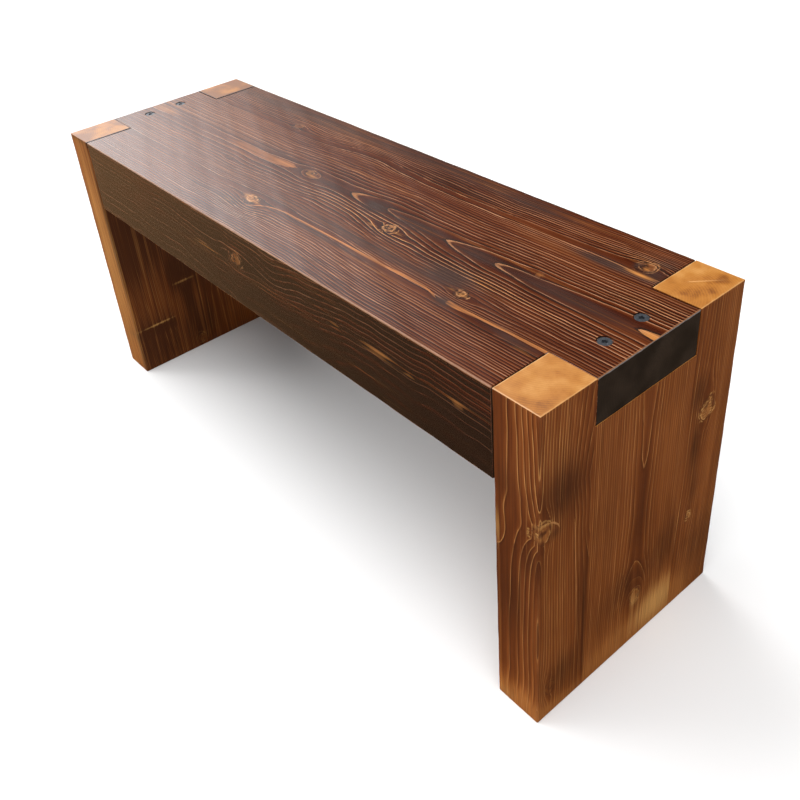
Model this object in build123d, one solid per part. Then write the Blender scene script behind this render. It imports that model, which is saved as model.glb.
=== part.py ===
"""Rustic solid pine bench: one thick seat beam held between two board-built end legs.

Frame: millimetres, +Z up. The origin is on the floor, under the middle of the bench.
X runs along the seat, and Y runs from the front (-Y) to the back (+Y).
Each end of the seat beam is cut down to a tongue of the beam's upper part. The tongue lies in the
notch between a leg's two posts, and two countersunk screws hold it to the leg's middle board.
"""

from build123d import *
import os
from math import cos, pi, sin

# Overall sizes
bench_length = 1000.0
bench_depth = 314.0
seat_height = 445.0

# Timber sections
leg_thickness = 60.0
post_width = 77.0
beam_thickness = 114.0
tongue_thickness = 57.0

# Clearances of the tongue joint
shoulder_gap = 0.8
tongue_side_gap = 0.6

# Arrises, rounded with a sanding block. The leg's foot and top arrises are smaller than its corners.
beam_arris = 1.6
leg_corner_arris = 2.6
leg_top_arris = 1.2
leg_foot_arris = 2.2

# Countersunk screws through the tongues
screw_head_diameter = 15.0
screw_head_rim = 0.8
screw_head_sink = 1.0
screw_shank_diameter = 8.0
screw_shank_length = 62.0
screw_core_diameter = 5.6
screw_thread_pitch = 5.0
screw_thread_crest_share = 0.05
screw_thread_flank_share = 0.3
screw_length = 120.0
screw_tip_length = 8.0
screw_recess_depth = 3.2
screw_recess_core_radius = 2.5
screw_recess_lobe_radius = 0.95
screw_recess_lobes = 6
counterbore_clearance = 1.0
shank_clearance = 0.3
screw_spacing = 57.0
screw_inset_left = 28.0
screw_inset_right = 34.0

# Beech dowels between a post and the middle board of a leg
edge_dowel_diameter = 10.0
edge_dowel_length = 60.0
edge_dowels_per_seam = 3
edge_dowel_floor_margin = 60.0
edge_dowel_seat_margin = 25.0

# Beech dowels between the beam's shoulders and the posts
shoulder_dowel_diameter = 12.0
shoulder_dowel_length = 70.0
shoulder_dowel_depth_in_post = 30.0
shoulder_dowel_edge_distance = 27.0

dowel_chamfer = 1.0
dowel_end_clearance = 1.0

# Places worked out from the sizes
end_x = bench_length / 2
leg_inner_x = end_x - leg_thickness
leg_middle_x = end_x - leg_thickness / 2
shoulder_x = leg_inner_x - shoulder_gap
front_y = -bench_depth / 2
back_y = bench_depth / 2
seam_y = back_y - post_width
post_middle_y = back_y - post_width / 2
tongue_side_y = seam_y - tongue_side_gap
tongue_underside_z = seat_height - tongue_thickness
beam_underside_z = seat_height - beam_thickness
screw_head_top_z = seat_height - screw_head_sink

ENDS = {"left": -1, "right": 1}
SIDES = {"front": -1, "back": 1}


def block(low, high):
    """A square-edged block between two opposite corners."""
    size = [b - a for a, b in zip(low, high)]
    middle = [(a + b) / 2 for a, b in zip(low, high)]
    return Pos(*middle) * Box(*size)


def edges_at(solid, axis, **places):
    """The solid's straight edges along an axis whose middle lies at the given X, Y or Z."""
    found = []
    for edge in solid.edges().filter_by(axis):
        middle = edge @ 0.5
        if all(abs(getattr(middle, name) - value) < 1e-4 for name, value in places.items()):
            found.append(edge)
    return found


def lying_dowel(diameter, length, axis):
    """A dowel with chamfered ends, its middle at the origin."""
    dowel = chamfer(Cylinder(diameter / 2, length).edges(), dowel_chamfer)
    turn = Rot(0, 90, 0) if axis == "X" else Rot(90, 0, 0)
    return turn * dowel


def dowel_hole(diameter, length, axis):
    """The drilled hole of a dowel, with the glue room past each of its ends."""
    hole = Cylinder(diameter / 2, length + 2 * dowel_end_clearance)
    turn = Rot(0, 90, 0) if axis == "X" else Rot(90, 0, 0)
    return turn * hole


# ---- Where the dowels and screws go

def edge_dowel_heights():
    """Heights of the dowels in one seam, from the foot up to just under the seat beam."""
    lowest = edge_dowel_floor_margin
    highest = beam_underside_z - edge_dowel_seat_margin
    step = (highest - lowest) / (edge_dowels_per_seam - 1)
    return [lowest + step * i for i in range(edge_dowels_per_seam)]


def edge_dowel_places(end):
    """Name and middle of each edge dowel in one leg."""
    places = {}
    for side, way in SIDES.items():
        for number, z in enumerate(edge_dowel_heights(), 1):
            name = f"{end}_leg_{side}_seam_dowel_{number}"
            places[name] = (ENDS[end] * leg_middle_x, way * seam_y, z)
    return places


def shoulder_dowel_places(end):
    """Name and middle of each dowel between one leg's posts and the beam's shoulder."""
    levels = {
        "lower": beam_underside_z + shoulder_dowel_edge_distance,
        "upper": seat_height - shoulder_dowel_edge_distance,
    }
    middle_x = leg_inner_x + shoulder_dowel_depth_in_post - shoulder_dowel_length / 2
    places = {}
    for side, way in SIDES.items():
        for level, z in levels.items():
            name = f"{end}_{side}_{level}_shoulder_dowel"
            places[name] = (ENDS[end] * middle_x, way * post_middle_y, z)
    return places


def screw_places(end):
    """Name and head top of each screw through one tongue."""
    inset = screw_inset_left if end == "left" else screw_inset_right
    x = ENDS[end] * (end_x - inset)
    return {
        f"{end}_{side}_tongue_screw": (x, way * screw_spacing / 2, screw_head_top_z)
        for side, way in SIDES.items()
    }


# ---- Screws

def screw_profile():
    """Half section of a screw as (radius, height) points, its head's top at height 0."""
    head_radius = screw_head_diameter / 2
    shank_radius = screw_shank_diameter / 2
    core_radius = screw_core_diameter / 2
    cone_end = -screw_head_rim - (head_radius - shank_radius)
    points = [(0, 0), (head_radius, 0), (head_radius, -screw_head_rim)]
    points += [(shank_radius, cone_end), (shank_radius, -screw_shank_length)]
    thread_end = -screw_length + screw_tip_length
    ridges = int((-screw_shank_length - thread_end) / screw_thread_pitch)
    crest = screw_thread_crest_share * screw_thread_pitch
    flank = screw_thread_flank_share * screw_thread_pitch
    for ridge in range(ridges):
        top = -screw_shank_length - ridge * screw_thread_pitch
        bottom = top - screw_thread_pitch
        points += [(core_radius, top - flank), (core_radius, bottom + crest + flank)]
        points += [(shank_radius, bottom + crest), (shank_radius, bottom)]
    points += [(core_radius, points[-1][1] - flank)]
    points += [(core_radius, thread_end), (0, -screw_length)]
    return points


def turned(points):
    """A solid turned about Z from its half section."""
    outline = make_face(Plane.XZ * Polyline(*points, close=True))
    return revolve(outline, Axis.Z)


def screw_recess():
    """The six-lobed driver recess, cut down from the head's top."""
    star = Circle(screw_recess_core_radius)
    for lobe in range(screw_recess_lobes):
        angle = 2 * pi * lobe / screw_recess_lobes
        place = Pos(screw_recess_core_radius * cos(angle), screw_recess_core_radius * sin(angle))
        star += place * Circle(screw_recess_lobe_radius)
    return extrude(star, -screw_recess_depth)


def screw_blank():
    """A screw before its driver recess is cut, which is also the shape it forms in the wood."""
    return turned(screw_profile())


def tongue_screw_hole():
    """Counterbore, countersink and clearance hole, measured from the screw head's top."""
    head_radius = screw_head_diameter / 2
    bore_radius = head_radius + counterbore_clearance
    hole_radius = screw_shank_diameter / 2 + shank_clearance
    above = 2 * screw_head_sink + 1
    below = -tongue_thickness - 1
    points = [(0, above), (bore_radius, above), (bore_radius, -screw_head_rim)]
    points += [(head_radius, -screw_head_rim)]
    points += [(hole_radius, -screw_head_rim - (head_radius - hole_radius))]
    points += [(hole_radius, below), (0, below)]
    return turned(points)


# ---- Seat beam

def seat_beam():
    """The solid beam, with its lower part cut away at each end to leave a tongue."""
    beam = block((-shoulder_x, front_y, beam_underside_z), (shoulder_x, back_y, seat_height))
    beam = fillet(beam.edges(), beam_arris)
    tongues = block(
        (-end_x, -tongue_side_y, tongue_underside_z), (end_x, tongue_side_y, seat_height)
    )
    tips = []
    for x in (-end_x, end_x):
        for z in (tongue_underside_z, seat_height):
            tips += edges_at(tongues, Axis.Y, X=x, Z=z)
    beam += fillet(tips, beam_arris)
    for end in ENDS:
        for place in screw_places(end).values():
            beam -= Pos(*place) * tongue_screw_hole()
        for place in shoulder_dowel_places(end).values():
            beam -= Pos(*place) * dowel_hole(shoulder_dowel_diameter, shoulder_dowel_length, "X")
    return beam


# ---- Legs

def leg_post(end, side):
    """A full-height corner post of a leg, square where it meets the middle board."""
    out, way = ENDS[end], SIDES[side]
    outline = Pos(out * leg_middle_x, way * post_middle_y) * Rectangle(leg_thickness, post_width)
    corners = [v for v in outline.vertices() if v.Y * way > post_middle_y]
    post = extrude(fillet(corners, leg_corner_arris), seat_height)
    for z, arris in ((0, leg_foot_arris), (seat_height, leg_top_arris)):
        rim = [e for e in post.edges() if abs((e @ 0.5).Z - z) < 1e-6]
        seam = edges_at(post, Axis.X, Y=way * seam_y, Z=z)
        post = fillet([e for e in rim if e not in seam], arris)
    for place in edge_dowel_places(end).values():
        post -= Pos(*place) * dowel_hole(edge_dowel_diameter, edge_dowel_length, "Y")
    for place in shoulder_dowel_places(end).values():
        post -= Pos(*place) * dowel_hole(shoulder_dowel_diameter, shoulder_dowel_length, "X")
    return post


def leg_middle_board(end):
    """The board between a leg's posts, stopping under the tongue."""
    out = ENDS[end]
    xs = sorted((out * leg_inner_x, out * end_x))
    board = block((xs[0], -seam_y, 0), (xs[1], seam_y, tongue_underside_z))
    board = fillet([e for x in xs for e in edges_at(board, Axis.Y, X=x, Z=0)], leg_foot_arris)
    for place in edge_dowel_places(end).values():
        board -= Pos(*place) * dowel_hole(edge_dowel_diameter, edge_dowel_length, "Y")
    for place in screw_places(end).values():
        board -= Pos(*place) * screw_blank()
    return board


# ---- All the pieces

def bench():
    """Every piece of the bench by name, in its place."""
    pieces = {"seat_beam": seat_beam()}
    screw = screw_blank() - screw_recess()
    edge_dowel = lying_dowel(edge_dowel_diameter, edge_dowel_length, "Y")
    shoulder_dowel = lying_dowel(shoulder_dowel_diameter, shoulder_dowel_length, "X")
    for end in ENDS:
        pieces[f"{end}_leg_middle_board"] = leg_middle_board(end)
        for side in SIDES:
            pieces[f"{end}_leg_{side}_post"] = leg_post(end, side)
        for name, place in screw_places(end).items():
            pieces[name] = Pos(*place) * screw
        for name, place in edge_dowel_places(end).items():
            pieces[name] = Pos(*place) * edge_dowel
        for name, place in shoulder_dowel_places(end).items():
            pieces[name] = Pos(*place) * shoulder_dowel
    return pieces


os.makedirs("parts", exist_ok=True)
for node, piece in bench().items():
    export_step(piece, f"parts/{node}.step")
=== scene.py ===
"""Solid pine bench: a dark walnut-stained seat beam held between two honey-stained board legs.

The grain of every timber comes from the trunk it was sawn from. Each timber has a heart line, growth
rings round it and branches that grow out of it. The mesh carries the ring count and the distance to the
nearest knot, and the stain's material turns them into pale latewood lines on a darker ground.
"""

import math
from functools import partial

import bpy
import numpy as np
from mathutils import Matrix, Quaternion, Vector


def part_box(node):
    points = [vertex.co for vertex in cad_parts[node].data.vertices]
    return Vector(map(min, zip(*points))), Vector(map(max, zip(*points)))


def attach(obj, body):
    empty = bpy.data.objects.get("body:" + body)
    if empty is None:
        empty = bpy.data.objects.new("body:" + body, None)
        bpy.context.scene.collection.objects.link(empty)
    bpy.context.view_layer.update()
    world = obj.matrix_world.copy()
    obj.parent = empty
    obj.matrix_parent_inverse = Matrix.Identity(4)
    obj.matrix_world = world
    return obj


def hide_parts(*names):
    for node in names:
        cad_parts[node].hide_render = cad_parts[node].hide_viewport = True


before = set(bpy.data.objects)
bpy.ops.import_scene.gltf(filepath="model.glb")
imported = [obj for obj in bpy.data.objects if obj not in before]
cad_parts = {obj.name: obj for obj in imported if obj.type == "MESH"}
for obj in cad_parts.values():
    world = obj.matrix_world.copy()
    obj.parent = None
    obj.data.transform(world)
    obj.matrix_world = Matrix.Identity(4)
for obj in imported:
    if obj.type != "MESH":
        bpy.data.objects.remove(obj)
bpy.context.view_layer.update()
MM = 0.001


# ---- Seat beam ----------------------------------------------------------------------------------
# One solid pine beam, sawn so that the trunk's heart runs along it, just under the middle of the seat.
# Each end is cut down to a tongue of half the beam's thickness. It is planed, its arrises are broken
# with a sanding block, and it is stained dark walnut and waxed: the soft early wood drinks the stain.

beam_low, beam_high = (np.array(corner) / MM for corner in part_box("seat_beam"))
leg_top_low, leg_top_high = (np.array(corner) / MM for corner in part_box("right_leg_front_post"))
board_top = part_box("right_leg_middle_board")[1] / MM
shoulder_gap = 0.8
tongue_side_gap = 0.6
beam_arris = 1.6
tongue_side_arris = 0.9
shoulder_x = leg_top_low[0] - shoulder_gap
tongue_y = -leg_top_high[1] - tongue_side_gap
tongue_z = board_top[2]


def lines_along(breaks, spacing):
    """Mesh lines through every break, as close together in between as spacing(place) asks, in mm."""
    step = 0.25
    lines = [breaks[0]]
    for a, b in zip(breaks, breaks[1:]):
        place = np.linspace(a, b, max(3, int((b - a) / step)))
        count = np.concatenate([[0], np.cumsum(np.diff(place) / spacing(place[1:]))])
        share = np.linspace(0, count[-1], max(1, math.ceil(count[-1])) + 1)
        lines += list(np.interp(share[1:], count, place))
    return np.array(lines)


def with_arris(faces, arris):
    """The faces' places, and the places where each face's rounded arris starts and bends, in order."""
    low, high = min(faces), max(faces)
    just_past = 1.5 * arris
    steps = [arris * (1 - math.tan(math.radians(turn))) for turn in (30, 15, 0)] + [just_past]
    return sorted(set(faces) | {low + step for step in steps} | {high - step for step in steps})


def union_of_blocks(blocks, lines):
    """Vertices and quads of the closed skin round a union of upright blocks, on a lattice of lines."""
    middles = [(line[1:] + line[:-1]) / 2 for line in lines]
    filled = np.zeros([len(middle) + 2 for middle in middles], bool)
    for low, high in blocks:
        x, y, z = [(m > a) & (m < b) for m, a, b in zip(middles, low, high)]
        filled[1:-1, 1:-1, 1:-1] |= x[:, None, None] & y[:, None] & z
    shape = [len(line) for line in lines]
    quads = []
    for axis in range(3):
        order = [axis, (axis + 1) % 3, (axis + 2) % 3]
        cells = filled.transpose(order)
        for facing, wall in ((1, cells[:-1] & ~cells[1:]), (-1, ~cells[:-1] & cells[1:])):
            i, j, k = np.nonzero(wall)
            ring = [(j - 1, k - 1), (j, k - 1), (j, k), (j - 1, k)][::facing]
            corners = []
            for second, third in ring:
                index = dict(zip(order, (i, second, third)))
                corners.append(np.ravel_multi_index([index[a] for a in range(3)], shape))
            quads.append(np.stack(corners, 1))
    used, quads = np.unique(np.concatenate(quads), return_inverse=True)
    places = np.unravel_index(used, shape)
    return np.stack([line[n] for line, n in zip(lines, places)], 1), quads.reshape(-1, 4)


def wander(place, wavelength, seed):
    """A smooth wandering value between about -1 and 1 along a place in mm."""
    draw = np.random.default_rng(seed)
    tallest = 1.9
    total = 0
    for octave in (1.0, 0.57, 0.31):
        start = draw.uniform(0, 2 * math.pi)
        total = total + octave * np.sin(2 * math.pi * place / (wavelength * octave) + start)
    return total / tallest


def eased(points, low, high, arris):
    """Rounds a block's arrises, and gives the outward way of each point on its skin."""
    arris = np.asarray(arris, float).reshape(-1, 1)
    inner = np.clip(points, low + arris, high - arris)
    out = points - inner
    reach = np.maximum(np.linalg.norm(out, axis=1, keepdims=True), 1e-9)
    return inner + out * (arris / reach), out / reach


def spread(points, middle, reach):
    """How much of a soft patch lies at each point: 1 in its middle, fading over its reach each way."""
    return np.exp(-(((points - middle) / reach) ** 2).sum(1))


def patches(points, patch_list):
    """Sum of soft patches, each (its middle, its reach each way, its amount)."""
    total = np.zeros(len(points))
    for middle, reach, amount in patch_list:
        total += amount * spread(points, middle, reach)
    return total


def patches_on(face, axis, depth, *rows):
    """Soft patches on a face that is square to an axis, reaching depth into the timber.

    A row is the patch's two places on the face, its reach along each, and its amount. A row with three
    reaches gives its own reach into the timber too, in X, Y and Z order.
    """
    patch_list = []
    for first, second, *reach, amount in rows:
        if len(reach) == 2:
            reach.insert(axis, depth)
        patch_list.append((face(first, second), reach, amount))
    return patch_list


def timber_grain(points, along, heart, rings, knots, bends, bulges, seed, waviness=1.0):
    """Ring count, nearness of the nearest knot (1 at its rim) and that knot's paleness, at points in mm.

    heart(s) is the heart line's place across the grain, and rings(radius) counts rings out from it.
    A knot is (its middle on a face, that face's axis, its radius, its paleness, how far rings bulge round
    it). A bend is (middle, reach, shift) and a bulge is (middle, reach, growth), all in mm.
    """
    no_knot = 6.0
    shortest_branch = 30.0
    across = [axis for axis in range(3) if axis != along]
    s = points[:, along]
    from_heart = points[:, across] - heart(s)
    near = np.full(len(s), no_knot)
    paleness = np.zeros(len(s))
    push = np.zeros_like(from_heart)
    swell = patches(points, bulges)
    for middle, reach, shift in bends:
        push -= spread(points, middle, reach)[:, None] * np.array(shift, float)
    for place, face_axis, size, knot_paleness, bulge in knots:
        place = np.array(place, float)
        heart_here = heart(place[along : along + 1])[0]
        root = place.copy()
        root[across] += 0.2 * (heart_here - place[across])
        root[face_axis] = heart_here[across.index(face_axis)]
        if abs(root[face_axis] - place[face_axis]) < shortest_branch:
            inward = 1 if root[face_axis] > place[face_axis] else -1
            root[face_axis] = place[face_axis] + shortest_branch * inward
        root[along] -= 0.25 * abs(place[face_axis] - root[face_axis])
        branch = place - root
        reach = np.linalg.norm(branch)
        branch /= reach
        side = np.cross(branch, np.eye(3)[along])
        side /= np.linalg.norm(side)
        out = (points - root) @ branch
        off = points - root - out[:, None] * branch
        sideways = off @ side
        lengthways = np.sqrt(np.maximum((off**2).sum(1) - sideways**2, 0))
        width = size * np.clip(out / reach, 0.15, 1.25)
        q = np.hypot(lengthways / 1.25, sideways) / width
        flow = np.maximum(np.hypot(lengthways / 2.6, sideways) / width, 1)
        grows = np.clip(out / reach * 4, 0, 1)
        push -= (grows * sideways / flow**2)[:, None] * side[across]
        swell += grows * bulge * np.exp(-((lengthways / 2.8) ** 2 + (sideways / 1.5) ** 2) / size**2)
        q = np.where(out > 0, q, no_knot)
        paleness = np.where(q < near, knot_paleness, paleness)
        near = np.minimum(near, q)
    radius = np.linalg.norm(from_heart + push, axis=1) - swell
    turn = np.arctan2(from_heart[:, 1], from_heart[:, 0])
    long_wave, short_wave = 190.0, 67.0
    waves = 0.8 * wander(s + 40 * turn, long_wave, seed)
    waves = waves + 0.25 * wander(s - 25 * turn, short_wave, seed + 1)
    radius += waviness * np.clip(np.abs(from_heart).min(1) / 40, 0.2, 1) * waves
    return rings(radius), near, paleness


def ring_pitch(points, normals, ring_at):
    """How far apart the rings lie along the surface at each point, in mm."""
    step = 0.2
    closest, widest = 1.0, 80.0
    here = ring_at(points)[0]
    slope = np.stack([(ring_at(points + step * way)[0] - here) / step for way in np.eye(3)], 1)
    slope -= (slope * normals).sum(1, keepdims=True) * normals
    return np.clip(1 / np.maximum(np.linalg.norm(slope, axis=1), 1e-6), closest, widest)


def beside(points, along, across, path):
    """Signed distance from a band, in half widths, and how strongly the band shows there.

    The path holds (place along, place across, half width, strength).
    """
    stops, places, half_widths, strengths = zip(*sorted(path))
    s = points[:, along]
    off = (points[:, across] - np.interp(s, stops, places)) / np.interp(s, stops, half_widths)
    return off, np.interp(s, stops, strengths)


def mesh_numbers(elements, name, width=1, kind=float):
    """The numbers that a mesh holds under a name, with a row for each of its elements."""
    numbers = np.zeros(len(elements) * width, kind)
    elements.foreach_get(name, numbers)
    return numbers.reshape(-1, width)


def bake_map(mesh, along):
    """Lays the timber's six sides out flat, side by side, in a map that the bake uses."""
    margin = 0.005
    across = [axis for axis in range(3) if axis != along]
    corner = mesh_numbers(mesh.loops, "vertex_index", kind=np.int32)[:, 0]
    place = mesh_numbers(mesh.vertices, "co", 3)
    low, high = place.min(0), place.max(0)
    size = high - low
    normal = mesh_numbers(mesh.polygons, "normal", 3)
    count = mesh_numbers(mesh.polygons, "loop_total", kind=np.int32)[:, 0]
    axis = np.abs(normal).argmax(1)
    back = normal[np.arange(len(axis)), axis] < 0
    axis, back = np.repeat(axis, count), np.repeat(back, count)
    uv = np.zeros((len(corner), 2))
    gap = 2 * margin * size[along]
    row = 0.0
    for facing in across:
        other = sum(across) - facing
        for reverse in (False, True):
            mine = (axis == facing) & (back == reverse)
            uv[mine, 0] = place[corner[mine], along] - low[along]
            uv[mine, 1] = place[corner[mine], other] - low[other] + row
            row += size[other] + gap
    for reverse in (False, True):
        mine = (axis == along) & (back == reverse)
        uv[mine, 0] = place[corner[mine], across[0]] - low[across[0]] + reverse * (size[across[0]] + gap)
        uv[mine, 1] = place[corner[mine], across[1]] - low[across[1]] + row
    row += size[across[1]]
    uv = uv / max(row, size[along]) * (1 - 2 * margin) + margin
    layer = mesh.uv_layers.new(name="OFBake")
    layer.data.foreach_set("uv", uv.astype(np.float32).ravel())


scene = bpy.context.scene


def new_piece(name, points, faces):
    """A mesh object in the scene, from points in mm."""
    mesh = bpy.data.meshes.new(name)
    mesh.from_pydata((np.array(points) * MM).tolist(), [], faces)
    piece = bpy.data.objects.new(name, mesh)
    scene.collection.objects.link(piece)
    return piece


# The heart line of the beam. Down the middle of the seat, the ring count at the surface falls by one
# at each place where a pale line comes to a point, and it stays level along the plain left half.
seat_z = beam_high[2]
back_edge = beam_high[1]
seat_centre_rings = [
    (0, 12.72), (230, 12.8), (385, 12.8), (430, 12.5), (500, 12.45), (522, 12.17), (594, 11.2),
    (650, 10.8), (711, 10.24), (788, 9.15), (850, 8.75), (982, 8.16), (1000, 8.03),
]
heart_from_back = [
    (0, 157), (330, 155), (480, 147), (522, 147), (594, 146), (711, 153), (788, 152), (982, 149),
]
wide_ring_start = 92.0
wide_ring_width = 11.0


def beam_rings(radius):
    """Rings of the beam's trunk, a little under 4 mm wide, with one much wider ring from a good year."""
    radius = np.abs(radius)
    good_year = np.clip((radius - wide_ring_start) / wide_ring_width, 0, 1)
    return radius / 3.72 + 0.22 * np.sin(radius / 7.1) + 0.12 * np.sin(radius / 3.7 + 1) - 1.9 * good_year


ring_table = np.linspace(0, 90, 901)


def beam_heart(x):
    """The heart line's Y and Z at each X."""
    from_left = x - beam_low[0]
    count = np.interp(from_left, *zip(*seat_centre_rings))
    depth = np.interp(count, beam_rings(ring_table), ring_table)
    return np.stack([back_edge - np.interp(from_left, *zip(*heart_from_back)), seat_z - depth], 1)


def on_seat(from_left, from_back):
    """A place on the seat's top, measured from the left end and the back edge."""
    return (beam_low[0] + from_left, back_edge - from_back, seat_z)


def on_front(from_left, down):
    """A place on the beam's front face, measured from the left end and the seat."""
    return (beam_low[0] + from_left, beam_low[1], seat_z - down)


def knots_on(face, axis, *rows):
    """Knots on a face, from rows of their two places on it, radius, paleness and the rings' bulge."""
    return [(face(first, second), axis, *knot) for first, second, *knot in rows]


seat_knots = knots_on(
    on_seat, 2, (274, 60, 7.5, 0.3, 2), (427, 148, 7.5, 0.6, 3), (430, 246, 9.5, 1.3, 1),
    (631, 178, 9, 1.3, 1), (803, 221, 7.5, 1.3, 1), (837, 137, 4, 0.2, 0.5),
    (909, 50, 8.5, 0.8, 2), (290, 194, 4, 0.15, 0.5),
)
beam_knots = seat_knots + [
    (on_front(484, 43), 1, 10, 0.35, 1),
    ((-215, back_edge, seat_z - 66), 1, 9, 0.5, 3),
    ((190, back_edge, seat_z - 40), 1, 7, 0.7, 2),
    ((60, -70, beam_low[2]), 2, 9, 0.5, 3),
    ((-290, 55, beam_low[2]), 2, 7, 0.3, 2),
]
# Reaches of a patch into its face: one that may run on over the arris, one that may not, and one that
# goes through the whole beam
flat = 9
skin = 1.2
through = 60
seat_patches = partial(patches_on, on_seat, 2, flat)
front_patches = partial(patches_on, on_front, 1, skin)
middle_z = seat_z - 57
whole_back = ((0, back_edge, middle_z), (2000, skin, 300))
whole_underside = ((0, 0, beam_low[2]), (2000, 300, skin))
# A bend's last pair is how far it shifts the rings across and up
beam_bends = [
    ((0, beam_low[1], middle_z), (4000, skin, 800), (0, -90)),
    ((0, back_edge, middle_z), (4000, skin, 800), (0, -70)),
]
beam_bends += front_patches((575, 34, 40, 24, (0, -9)))
beam_bends += patches_on(
    on_seat, 2, through, (450, 58, 55, 24, (7, 0)), (530, 182, 62, 20, (9, 0)),
    (446, 272, 34, 16, (-6, 0)), (885, 40, 45, 18, (4, 0)), (605, 60, 60, 22, (-7, 0)),
)
beam_soak = seat_patches(
    (574, 151, 17, 11, 0.9), (655, 151, 46, 11, 0.7), (757, 152, 30, 9, 0.75), (890, 152, 90, 9, 0.8),
    (560, 12, 150, 16, 0.55), (250, 20, 260, 16, 0.45), (720, 18, 60, 12, 0.55), (872, 69, 34, 8, 0.95),
    (926, 60, 14, 12, 0.8), (925, 30, 12, 12, 0.4), (640, 221, 150, 8, 0.6), (766, 206, 30, 12, 1.4),
    (902, 49, 4, 6, 0.9), (600, 246, 120, 5, 0.35), (800, 246, 14, 8, 0.8), (905, 246, 35, 4, 0.7),
    (480, 152, 40, 14, 0.35), (406, 148, 12, 12, 0.3), (320, 135, 60, 9, 0.3),
)
# Tone over the beam: the paler left end of the seat is painted sheen under the glow's reflection, the
# darker front, back and underside are painted shade for the less-lit sides, and the rest is the wood's
# own tone
beam_tone_and_painted_light = seat_patches(
    (120, 90, 230, 130, 0.3), (574, 151, 17, 9, -0.3), (500, 0, 900, 7, -0.15), (655, 14, 40, 8, 0.3),
    (700, 45, 190, 14, -0.12), (330, 30, 90, 20, 0.15), (600, 100, 120, 16, 0.1),
) + front_patches(
    (500, 57, 2000, 300, -0.56), (484, 42, 16, 15, 0.4), (200, 40, 260, flat, 60, 0.1),
) + [(*whole_back, -0.5), (*whole_underside, -0.4)]
beam_glow = seat_patches(
    (30, 157, 50, 9, 0.45), (425, 243, 12, 8, 0.3), (893, 47, 14, 3, 0.3), (914, 51, 4, 4, 0.6),
    (916, 65.5, 20, 2.6, 1), (838, 137, 3, 1, 0.4), (433, 250, 6, 3, 0.3), (415, 245, 7, 2.4, 0.45),
    (446, 248, 9, 2.4, 0.45), (650, 180, 11, 2.2, 0.45), (789, 221, 7, 2, 0.35),
    (437, 152, 12, 3.2, 0.6), (424, 147, 6, 3.5, 0.35), (806, 222, 6, 4, 0.4), (920, 252, 20, 3, 0.25),
    (405, 270, 14, 3, 0.35), (608, 186, 10, 3, 0.5),
) + front_patches(
    (398, 51, 26, 2.8, 0.4), (430, 52, 26, 1.2, 0.28), (487, 42, 8, 10, 0.3), (692, 46, 15, 3, 0.36),
    (766, 46, 28, 4.5, 0.4), (778, 43, 16, 1.6, 0.3), (820, 48, 10, 2, 0.34), (892, 47, 11, 4, 0.4),
)
beam_lines_shown = seat_patches(
    (535, 147, 26, 12, 0.6), (600, 150, 22, 18, 0.3), (720, 152, 24, 12, 0.35), (797, 152, 20, 10, 0.3),
    (990, 150, 20, 10, 0.5), (850, 150, 220, 26, 0.15), (200, 200, 260, 160, -0.3),
    (320, 155, 90, 12, 0.1), (806, 196, 16, 8, 0.4), (640, 62, 240, 9, 0.4), (530, 180, 90, 14, 0.5),
    (800, 188, 200, 9, 0.45), (960, 104, 60, 20, 0.35), (900, 45, 40, 26, 0.4), (640, 178, 40, 14, 0.5),
    (470, 268, 80, 10, 0.4), (500, 8, 600, 17, -0.8), (560, 80, 420, 7, -0.55),
    (610, 221, 200, 8, -0.75), (640, 249, 180, 5, -0.5), (427, 148, 13, 10, -0.5),
) + front_patches(
    (500, 57, 2000, 300, -0.65), (580, 18, 200, 24, 0.14), (840, 24, 120, 40, -0.08),
    (760, 100, 300, 34, -0.3), (480, 38, 26, flat, 14, 0.2),
) + [(*whole_back, -0.5), (*whole_underside, -0.4)]
beam_late_wood = seat_patches(
    (530, 147, 16, 12, 0.16), (717, 152, 10, 12, 0.03), (794, 152, 8, 12, 0.03),
    (998, 150, 14, 12, 0.35),
)
# Where pale bands run along the seat: from the left, from the back, half the band's width, its strength
gone = 0.03
pale_bands = [
    (215, 158, gone, 0), (240, 157, 5, 0.12), (262, 156, 8, 0.28), (340, 156, 8.5, 0.4),
    (365, 153, 8, 0.6), (385, 151, 6, 0.6), (400, 149, gone, 0.4), (436, 265, gone, 0.7),
    (441, 262, 0.8, 0.8), (452, 254, 0.9, 0.8), (462, 247, 1, 0.7), (478, 242, 1.1, 0.7),
    (500, 239.5, 1.4, 0.8), (560, 239, 1.2, 0.65), (600, 238.5, 1.3, 0.75), (655, 239.5, 2.2, 0.8),
    (690, 239.5, 1.5, 0.6), (720, 238.5, 2.2, 0.85), (768, 238.5, 1.4, 0.7), (787, 243.5, 1, 0.7),
    (790, 245, gone, 0.6), (801, 242, gone, 0.9), (804, 242, 3, 0.9), (815, 243, 3.2, 0.8),
    (850, 240.5, 2, 0.65), (890, 238.5, 1.6, 0.6), (934, 238, 2.2, 0.75),
]

far = 1000.0
beam_core = ((-shoulder_x, beam_low[1], beam_low[2]), (shoulder_x, beam_high[1], seat_z))
tongues = ((beam_low[0], -tongue_y, tongue_z), (beam_high[0], tongue_y, seat_z))


def finer_near(places, fine, coarse, beside=9.0, change=16.0):
    """Line spacing that is fine beside each of the places, and changes to coarse farther off."""
    def spacing(at):
        gap = np.abs(at[:, None] - places).min(1)
        return fine + (coarse - fine) * np.clip((gap - beside) / change, 0, 1)
    return spacing


def even(step):
    """The same line spacing everywhere."""
    return lambda at: np.full(len(at), step)


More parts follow.
